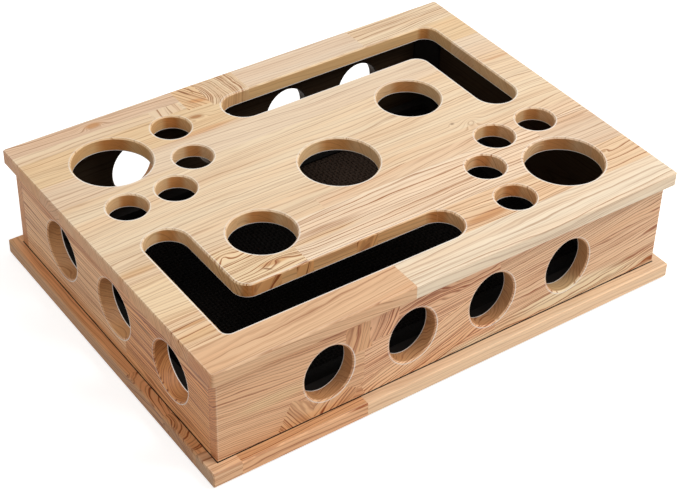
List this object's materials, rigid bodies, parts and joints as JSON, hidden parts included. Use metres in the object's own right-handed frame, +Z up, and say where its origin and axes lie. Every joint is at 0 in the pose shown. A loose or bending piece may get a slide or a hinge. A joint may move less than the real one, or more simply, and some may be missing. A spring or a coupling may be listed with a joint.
{
  "type": "cat puzzle box",
  "caption": "Solid wood cat puzzle box: a cover with paw-shaped, round and L-slot openings lifts off a base board that carries a dark scratch mat.",
  "frame": {"origin": "on the floor, under the middle of the base board", "axes": "+Z up, +X to the right along the front wall, +Y to the back"},
  "size_m": [0.405, 0.302, 0.098],
  "materials": {
    "top_wood": "satin clear-oiled pale pine, grain along X",
    "wall_wood": "satin clear-oiled pine, outside clear and inside stained near black",
    "base_wood": "satin clear-oiled pine, grain along X",
    "dark_wood": "pine stained near black",
    "dowel_wood": "plain beech",
    "mat": "dark brown woven sisal",
    "screw_steel": "zinc plated",
    "foot_rubber": "matt black rubber"
  },
  "bodies": {
    "base": {"base_board": "base_wood", "scratch_mat": "mat", "front_cleat": "dark_wood", "back_cleat": "dark_wood", "left_cleat": "dark_wood", "right_cleat": "dark_wood", "cleat_screws": "screw_steel", "foot_front_left": "foot_rubber", "foot_front_right": "foot_rubber", "foot_back_left": "foot_rubber", "foot_back_right": "foot_rubber"},
    "cover": {"top_panel": "top_wood", "front_wall": "wall_wood", "back_wall": "wall_wood", "left_wall": "wall_wood", "right_wall": "wall_wood", "block_front_left": "dark_wood", "block_front_right": "dark_wood", "block_back_left": "dark_wood", "block_back_right": "dark_wood", "panel_dowels": "dowel_wood"}
  },
  "joints": [
    {"name": "cover_lift", "type": "slide", "parent": "base", "child": "cover", "axis": [0, 0, 1], "range_m": [0, 0.12]}
  ]
}
